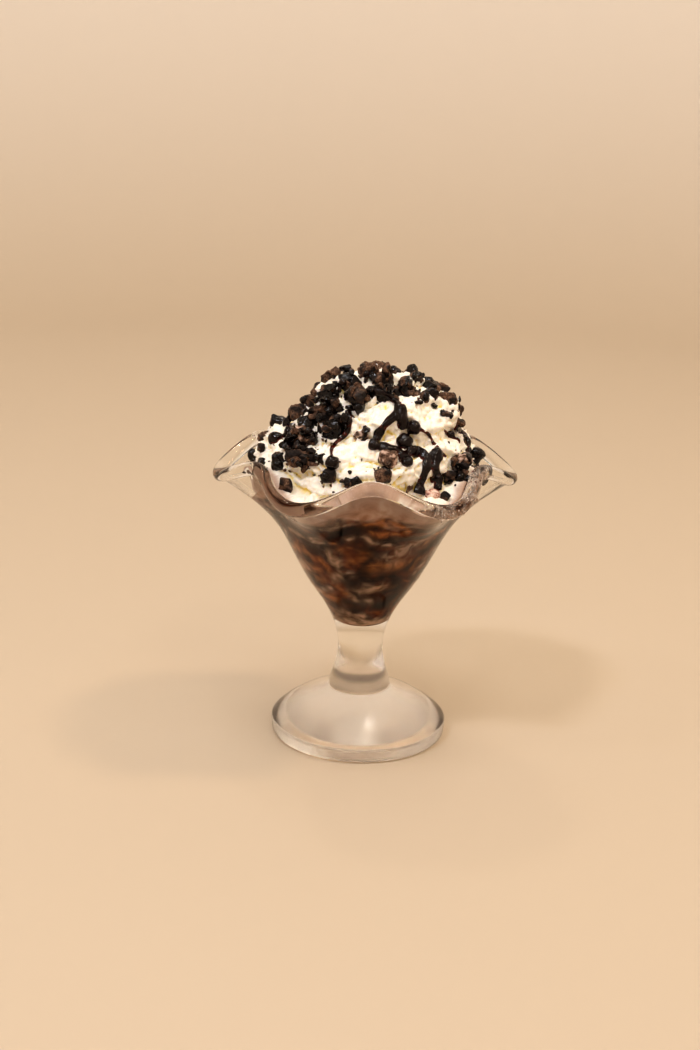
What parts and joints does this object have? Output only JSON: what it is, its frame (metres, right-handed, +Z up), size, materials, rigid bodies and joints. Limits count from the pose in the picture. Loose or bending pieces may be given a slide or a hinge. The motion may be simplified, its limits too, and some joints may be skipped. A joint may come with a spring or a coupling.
{
  "type": "cookies and cream sundae in a glass",
  "caption": "Footed clear glass with a wavy rolled rim, filled with marbled ice cream under a piped swirl of cream with broken chocolate cookies and syrup.",
  "frame": {"origin": "on the glass's axis, at the level of the surface that its foot stands on", "axes": "+Z up along the glass's axis, -Y towards the viewer of the picture, +X to the viewer's right"},
  "size_m": [0.1258, 0.1162, 0.1616],
  "materials": {
    "clear_glass": "clear, pressed",
    "ice_cream": "chocolate ice cream marbled with milky streaks",
    "cream": "soft whipped cream with dark syrup on it",
    "lump": "melting ice cream",
    "cookie": "broken dark chocolate cookie"
  },
  "bodies": {
    "root": {"sundae_glass": "clear_glass", "marbled_ice_cream": "ice_cream", "whipped_cream": "cream", "ice_cream_lump": "lump", "cookie_piece_01": "cookie", "cookie_piece_02": "cookie", "cookie_piece_03": "cookie", "cookie_piece_04": "cookie", "cookie_piece_05": "cookie", "cookie_piece_06": "cookie", "cookie_piece_07": "cookie", "cookie_piece_08": "cookie", "cookie_piece_09": "cookie", "cookie_piece_10": "cookie", "cookie_piece_11": "cookie", "cookie_piece_12": "cookie", "cookie_piece_13": "cookie", "cookie_piece_14": "cookie", "cookie_piece_15": "cookie", "cookie_piece_16": "cookie", "cookie_piece_17": "cookie", "cookie_piece_18": "cookie", "cookie_piece_19": "cookie", "cookie_piece_20": "cookie", "cookie_piece_21": "cookie", "cookie_piece_22": "cookie", "cookie_piece_23": "cookie", "cookie_piece_24": "cookie", "cookie_piece_25": "cookie", "cookie_piece_26": "cookie", "cookie_piece_27": "cookie", "cookie_piece_28": "cookie", "cookie_piece_29": "cookie", "cookie_piece_30": "cookie", "cookie_piece_31": "cookie", "cookie_piece_32": "cookie", "cookie_piece_33": "cookie", "cookie_piece_34": "cookie", "cookie_piece_35": "cookie", "cookie_piece_36": "cookie", "cookie_piece_37": "cookie", "cookie_piece_38": "cookie", "cookie_piece_39": "cookie", "cookie_piece_40": "cookie", "cookie_piece_41": "cookie", "cookie_piece_42": "cookie", "cookie_piece_43": "cookie", "cookie_piece_44": "cookie", "cookie_piece_45": "cookie", "cookie_piece_46": "cookie", "cookie_piece_47": "cookie", "cookie_piece_48": "cookie", "cookie_piece_49": "cookie", "cookie_piece_50": "cookie", "cookie_piece_51": "cookie", "cookie_piece_52": "cookie", "cookie_piece_53": "cookie", "cookie_piece_54": "cookie", "cookie_piece_55": "cookie", "cookie_piece_56": "cookie"}
  },
  "joints": []
}
